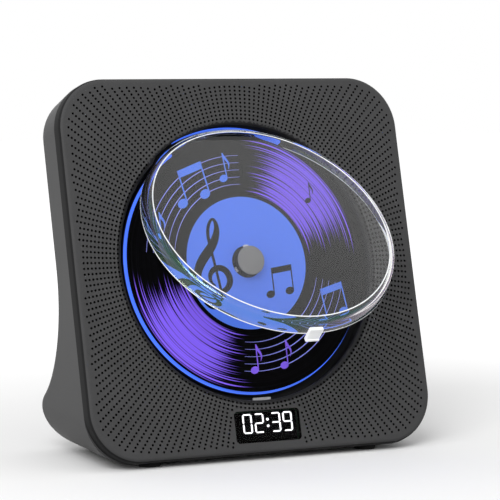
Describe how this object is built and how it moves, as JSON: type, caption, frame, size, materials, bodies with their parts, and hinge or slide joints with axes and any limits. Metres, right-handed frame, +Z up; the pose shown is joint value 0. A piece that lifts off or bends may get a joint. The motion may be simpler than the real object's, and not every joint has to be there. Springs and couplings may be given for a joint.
{
  "type": "desktop cd player",
  "caption": "Leaning desktop disc player: perforated square front, round disc well with a lit ring, hinged clear dust cover, display window, top keys and a swept-back heel.",
  "frame": {"origin": "centre of the bounding box on the floor, with the dust cover open as at rest", "axes": "+Z up, the front with the disc faces -Y, +X to the right seen from the front"},
  "size_m": [0.176, 0.1224, 0.1738],
  "materials": {
    "panel_plastic": "fine matte grain, dark grey",
    "housing_plastic": "smooth satin, dark grey",
    "well_plastic": "near black satin",
    "clear_acrylic": "polished clear",
    "blue_light": "lit blue light guide",
    "disc_print": "printed black and violet with a blue label",
    "dark_plastic": "moulded black",
    "grey_plastic": "satin grey",
    "white_plastic": "moulded natural white",
    "key_plastic": "satin dark grey",
    "steel": "plain steel",
    "circuit_board": "green laminate",
    "rubber": "soft black",
    "lens_glass": "clear lens",
    "smoked_window": "smoked clear",
    "white_light": "lit white bars",
    "paper_cone": "pressed paper",
    "magnet_iron": "plated iron"
  },
  "bodies": {
    "case": {"audio_jack": "dark_plastic", "board_screws": "steel", "chassis_dampers": "rubber", "cover_catch": "grey_plastic", "damper_screws": "steel", "disc_well": "well_plastic", "display_board": "circuit_board", "display_digits": "white_light", "display_lens": "smoked_window", "display_module": "dark_plastic", "front_panel": "panel_plastic", "gear_axle": "steel", "guide_rods": "steel", "hinge_pin": "steel", "housing_screws": "steel", "ir_receiver": "dark_plastic", "key_board": "circuit_board", "key_contacts": "dark_plastic", "light_bridge": "blue_light", "light_ring": "blue_light", "main_board": "circuit_board", "mechanism_chassis": "dark_plastic", "power_inlet": "steel", "power_switch": "dark_plastic", "rear_housing": "housing_plastic", "ring_led_board": "circuit_board", "rubber_feet": "rubber", "sled_motor": "steel", "speaker_cone_left": "paper_cone", "speaker_cone_right": "paper_cone", "speaker_frame_left": "dark_plastic", "speaker_frame_right": "dark_plastic", "speaker_gasket_left": "rubber", "speaker_gasket_right": "rubber", "speaker_magnet_left": "magnet_iron", "speaker_magnet_right": "magnet_iron", "spindle_motor": "steel", "well_screws": "steel"},
    "cover": {"dust_cover": "clear_acrylic"},
    "disc": {"compact_disc": "disc_print", "turntable": "dark_plastic", "hub_cap": "grey_plastic", "hub_tabs": "steel"},
    "sled": {"pickup_sled": "dark_plastic", "objective_lens": "lens_glass"},
    "gear": {"reduction_gear": "white_plastic"},
    "pinion": {"motor_pinion": "white_plastic"},
    "power_knob": {"switch_knob": "dark_plastic"},
    "key_1": {"key_1": "key_plastic"},
    "key_2": {"key_2": "key_plastic"},
    "key_3": {"key_3": "key_plastic"},
    "key_4": {"key_4": "key_plastic"},
    "key_5": {"key_5": "key_plastic"}
  },
  "joints": [
    {"name": "cover_hinge", "type": "hinge", "parent": "case", "child": "cover", "pos_m": [0, 0.02287, 0.13119], "axis": [-1, 0, 0], "range_deg": [-32, 0]},
    {"name": "disc_spin", "type": "hinge", "parent": "case", "child": "disc", "pos_m": [0, 0.00742, 0.08867], "axis": [0, -0.9697, 0.2443], "continuous": true},
    {"name": "sled_slide", "type": "slide", "parent": "case", "child": "sled", "axis": [0, -0.2443, -0.9697], "range_m": [0, 0.0295]},
    {"name": "gear_spin", "type": "hinge", "parent": "case", "child": "gear", "pos_m": [0.024, 0.00647, 0.04766], "axis": [0, -0.9697, 0.2443], "range_deg": [0, 281.7]},
    {"name": "pinion_spin", "type": "hinge", "parent": "case", "child": "pinion", "pos_m": [0.0366, 0.01033, 0.05275], "axis": [0, -0.9697, 0.2443], "range_deg": [-1014.14, 0]},
    {"name": "power_slide", "type": "slide", "parent": "case", "child": "power_knob", "axis": [1, 0, 0], "range_m": [0, 0.004]},
    {"name": "key_1_press", "type": "slide", "parent": "case", "child": "key_1", "axis": [0, -0.2443, -0.9697], "range_m": [0, 0.0009], "stiffness_N_per_m": 500},
    {"name": "key_2_press", "type": "slide", "parent": "case", "child": "key_2", "axis": [0, -0.2443, -0.9697], "range_m": [0, 0.0009], "stiffness_N_per_m": 500},
    {"name": "key_3_press", "type": "slide", "parent": "case", "child": "key_3", "axis": [0, -0.2443, -0.9697], "range_m": [0, 0.0009], "stiffness_N_per_m": 500},
    {"name": "key_4_press", "type": "slide", "parent": "case", "child": "key_4", "axis": [0, -0.2443, -0.9697], "range_m": [0, 0.0009], "stiffness_N_per_m": 500},
    {"name": "key_5_press", "type": "slide", "parent": "case", "child": "key_5", "axis": [0, -0.2443, -0.9697], "range_m": [0, 0.0009], "stiffness_N_per_m": 500}
  ],
  "couplings": [
    {"joint": "gear_spin", "follows": "sled_slide", "rad_per_m": 166.67},
    {"joint": "pinion_spin", "follows": "sled_slide", "rad_per_m": -600}
  ]
}
